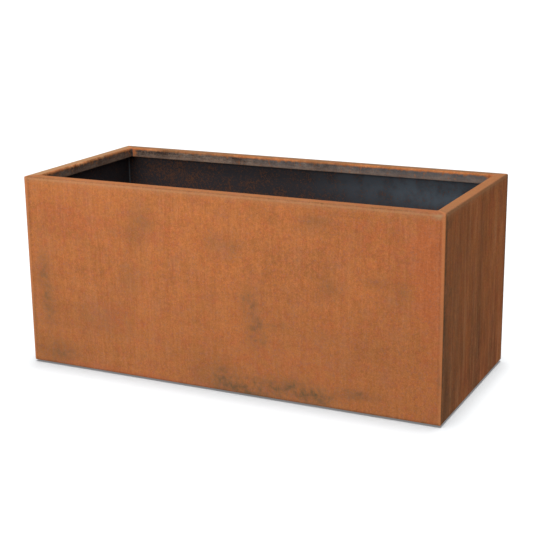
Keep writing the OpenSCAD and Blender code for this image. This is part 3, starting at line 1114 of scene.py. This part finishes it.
def only_for(lamp, things):
    """Makes a lamp light these objects and no others."""
    group = bpy.data.collections.new(f"{lamp.name}_lights")
    for thing in things:
        group.objects.link(thing)
    lamp.light_linking.receiver_collection = group


def add_floor():
    """A plain floor, white under its own lights. It doesn't light the planter: the surround does."""
    mesh = bpy.data.meshes.new("floor")
    reach = FLOOR_REACH
    corners = [(-reach, -reach, 0), (reach, -reach, 0), (reach, reach, 0), (-reach, reach, 0)]
    mesh.from_pydata(corners, [], [(0, 1, 2, 3)])
    g = Graph("floor")
    g.shade("Base Color", FLOOR_COLOUR)
    g.shade("Emission Color", FLOOR_COLOUR)
    g.shade("Emission Strength", FLOOR_GLOW)
    g.shade("Roughness", 1.0)
    g.shade("Specular IOR Level", 0.0)
    mesh.materials.append(g.material)
    floor = linked("floor", mesh)
    floor.visible_diffuse = False
    floor.visible_glossy = False
    floor.visible_shadow = False
    return floor


def add_surround():
    """Soft light from all round, more of it from above than from below, in front of a white view."""
    world = bpy.data.worlds.new("surround")
    bpy.context.scene.world = world
    world.use_nodes = True
    tree = world.node_tree
    way = add_node(tree, "TexCoord", {}, "Generated")
    level = SKY_LEVEL
    for axis, sign, gain in (("Z", 1, SKY_ABOVE), ("Z", -1, SKY_BELOW), ("Y", -1, SKY_FRONT)):
        inputs = {"Value": add_node(tree, "SeparateXYZ", {0: way}, axis), "From Max": sign, "To Max": gain}
        level = add_node(tree, "Math", {0: add_node(tree, "MapRange", inputs, "Result"), 1: level}, 0)
    seen = {"Value": add_node(tree, "LightPath", {}, "Is Camera Ray"), "To Min": level, "To Max": VIEW_LEVEL}
    strength = add_node(tree, "MapRange", seen, "Result")
    connect(tree, tree.nodes["Background"].inputs["Strength"], strength)
    tree.nodes["Background"].inputs["Color"].default_value = (1.0, 1.0, 1.0, 1.0)


def add_lights(floor, planter):
    """The softboxes, which light only the planter, and the lights from above, which light only the floor."""
    for name, (place, aim, width, watts) in SOFTBOXES.items():
        lamp = bpy.data.lights.new(name, "AREA")
        lamp.size = width
        lamp.energy = watts
        softbox = linked(name, lamp)
        softbox.location = place
        softbox.rotation_euler = (Vector(place) - Vector(aim)).to_track_quat("Z", "Y").to_euler()
        softbox.visible_camera = False
        only_for(softbox, planter)
    for number, tilt in enumerate(FLOOR_LIGHT_TILTS):
        sun = bpy.data.lights.new(f"floor_light_{number}", "SUN")
        sun.energy = FLOOR_LIGHT * math.pi
        sun.angle = math.radians(FLOOR_LIGHT_WIDTH)
        floor_light = linked(sun.name, sun)
        floor_light.rotation_euler.x = math.radians(tilt)
        only_for(floor_light, [floor])


def add_camera():
    """The view from in front, above and to the right."""
    data = bpy.data.cameras.new("camera")
    data.lens = LENS
    data.sensor_width = SENSOR_WIDTH
    camera = linked("camera", data)
    camera.location = CAMERA_PLACE
    upright = Matrix.Rotation(math.radians(CAMERA_TURN), 3, "Z")
    tilt = Matrix.Rotation(math.radians(90 - CAMERA_DOWN), 3, "X")
    roll = Matrix.Rotation(math.radians(CAMERA_ROLL), 3, "Z")
    camera.rotation_euler = (upright @ tilt @ roll).to_euler()
    bpy.context.scene.camera = camera


# ---- the scene

steel = weathering_steel()
base_metal = base_steel()
weld = weld_metal()
plastic = nylon()

wall("front_panel", "front", 1, HALF_LENGTH, HALF_DEPTH, 0, steel)
wall("back_panel", "back", 2, HALF_LENGTH, HALF_DEPTH, 180, steel)
wall("left_end_panel", "left_end", 3, HALF_DEPTH, HALF_LENGTH, -90, steel)
wall("right_end_panel", "right_end", 4, HALF_DEPTH, HALF_LENGTH, 90, steel)

for place in CORNERS:
    corner_weld(place, steel)
    rim_weld(place, steel)

tray_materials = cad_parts["base_tray"].data.materials
tray_materials.clear()
tray_materials.append(base_metal)
for name in RIBS:
    rib(name, base_metal)
tray_stitches(weld)
rib_stitches(weld)
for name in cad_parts:
    if name.startswith("glide_"):
        glide(name, plastic)

add_camera()
add_surround()
planter = [thing for thing in bpy.context.scene.objects if thing.type == "MESH"]
add_lights(add_floor(), planter)
bpy.context.scene.view_settings.view_transform = "Standard"
